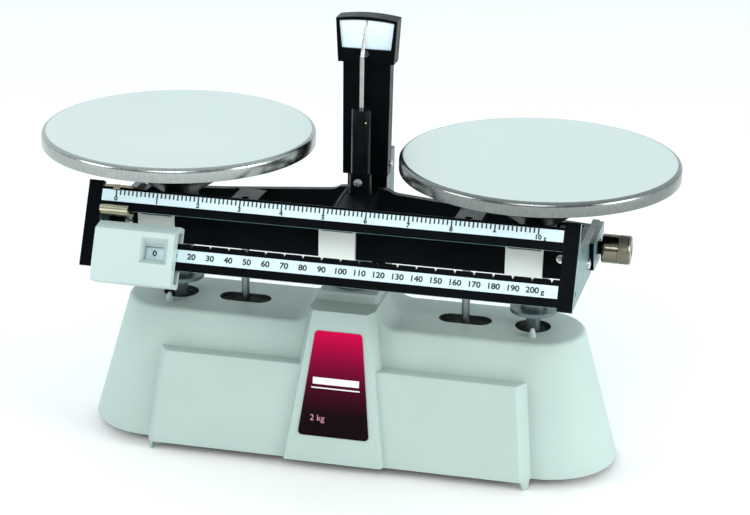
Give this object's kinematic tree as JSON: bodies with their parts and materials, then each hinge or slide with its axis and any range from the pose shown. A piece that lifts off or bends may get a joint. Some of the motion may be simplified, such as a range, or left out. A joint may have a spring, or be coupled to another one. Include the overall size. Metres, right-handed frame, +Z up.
{
  "type": "two-pan mechanical balance",
  "caption": "Equal-arm laboratory balance: two round steel pans on a knife-edge beam, two sliding-poise scales in front, a pointer and dial, and a painted cast base.",
  "frame": {"origin": "centre of the base between the four feet, on the plane of the feet tips, straight below the centre knife edge", "axes": "+X along the beam to the right with the scales towards the user, +Y to the back, +Z up"},
  "size_m": [0.3556, 0.1658, 0.2429],
  "materials": {
    "base_paint": "satin",
    "cover_sheet": "matte",
    "label_print": "satin",
    "black_casting": "satin",
    "black_steel": "satin",
    "black_anodised": "satin",
    "zinc_stem": "satin",
    "knife_steel": "polished",
    "agate": "polished",
    "cover_beige": "satin",
    "scale_strip": "satin",
    "screw_steel": "satin",
    "rod_steel": "satin",
    "pan_steel": "satin",
    "nickel_brass": "satin",
    "poise_white": "satin",
    "spring_steel": "satin",
    "dial_white": "matte",
    "dial_black": "satin",
    "lead_weight": "matte",
    "link_steel": "satin"
  },
  "bodies": {
    "base": {"base_shell": "base_paint", "bottom_cover": "cover_sheet", "cover_screws": "screw_steel", "pedestal_label": "label_print", "centre_pillar": "zinc_stem", "pillar_bolt": "screw_steel", "centre_bearings": "agate", "mast_bracket": "black_steel", "bracket_screws": "screw_steel", "pointer_mast": "black_steel", "mast_screws": "screw_steel", "dial_housing": "dial_black", "dial_face": "dial_white", "dial_rivet": "screw_steel", "link_bracket": "link_steel", "link_bracket_screws": "screw_steel", "link_pivot_pin": "rod_steel"},
    "link": {"check_link": "link_steel", "link_end_pins": "rod_steel"},
    "beam": {"beam_casting": "black_casting", "centre_knife": "knife_steel", "left_knife": "knife_steel", "right_knife": "knife_steel", "front_bearing_covers": "cover_beige", "rear_bearing_covers": "cover_beige", "left_end_plate": "black_casting", "right_end_plate": "black_casting", "end_plate_screws": "black_steel", "upper_scale_beam": "black_anodised", "lower_scale_beam": "black_anodised", "upper_scale_strip": "scale_strip", "lower_scale_strip": "scale_strip", "counterweight": "lead_weight", "left_end_block": "lead_weight", "end_block_screws": "screw_steel", "stop_rods": "rod_steel", "stop_washers": "screw_steel", "stop_nuts": "screw_steel", "zero_lug": "black_steel", "zero_screw": "black_steel", "lug_screw": "screw_steel", "pointer_sleeve": "black_anodised", "pointer_rod": "rod_steel", "pointer_screw": "screw_steel"},
    "left_support": {"left_pan_support": "zinc_stem", "left_bearings": "agate", "left_pan_dish": "black_steel"},
    "right_support": {"right_pan_support": "zinc_stem", "right_bearings": "agate", "right_pan_dish": "black_steel"},
    "left_pan": {"left_pan": "pan_steel", "left_pan_stud": "zinc_stem"},
    "right_pan": {"right_pan": "pan_steel", "right_pan_stud": "zinc_stem"},
    "small_poise": {"small_poise": "nickel_brass"},
    "large_poise": {"large_poise": "poise_white", "detent_spring": "spring_steel", "detent_screws": "screw_steel"},
    "zero_nut": {"zero_nut": "nickel_brass"},
    "zero_knob": {"zero_knob": "nickel_brass"}
  },
  "joints": [
    {"name": "beam_tilt", "type": "hinge", "parent": "base", "child": "beam", "pos_m": [0, 0, 0.132], "axis": [0, 1, 0], "range_deg": [-4.2, 4.2]},
    {"name": "check_link_tilt", "type": "hinge", "parent": "base", "child": "link", "pos_m": [0, 0, 0.025], "axis": [0, 1, 0], "range_deg": [-4.2, 4.2]},
    {"name": "left_support_tilt", "type": "hinge", "parent": "beam", "child": "left_support", "pos_m": [-0.1016, 0, 0.132], "axis": [0, 1, 0], "range_deg": [-4.2, 4.2]},
    {"name": "right_support_tilt", "type": "hinge", "parent": "beam", "child": "right_support", "pos_m": [0.1016, 0, 0.132], "axis": [0, 1, 0], "range_deg": [-4.2, 4.2]},
    {"name": "left_pan_lift", "type": "slide", "parent": "left_support", "child": "left_pan", "axis": [0, 0, 1], "range_m": [0, 0.03]},
    {"name": "right_pan_lift", "type": "slide", "parent": "right_support", "child": "right_pan", "axis": [0, 0, 1], "range_m": [0, 0.03]},
    {"name": "small_poise_slide", "type": "slide", "parent": "beam", "child": "small_poise", "axis": [1, 0, 0], "range_m": [0, 0.2286]},
    {"name": "large_poise_slide", "type": "slide", "parent": "beam", "child": "large_poise", "axis": [1, 0, 0], "range_m": [0, 0.2032], "deforming": ["detent_spring"]},
    {"name": "zero_knob_travel", "type": "slide", "parent": "beam", "child": "zero_nut", "axis": [1, 0, 0], "range_m": [-0.001, 0.004]},
    {"name": "zero_knob_spin", "type": "hinge", "parent": "zero_nut", "child": "zero_knob", "pos_m": [0.145, 0, 0.129], "axis": [1, 0, 0], "range_deg": [-360, 1440]}
  ],
  "couplings": [
    {"joint": "check_link_tilt", "follows": "beam_tilt", "ratio": 1},
    {"joint": "left_support_tilt", "follows": "beam_tilt", "ratio": -1},
    {"joint": "right_support_tilt", "follows": "beam_tilt", "ratio": -1},
    {"joint": "zero_knob_travel", "follows": "zero_knob_spin", "m_per_rad": 0.00015915}
  ]
}
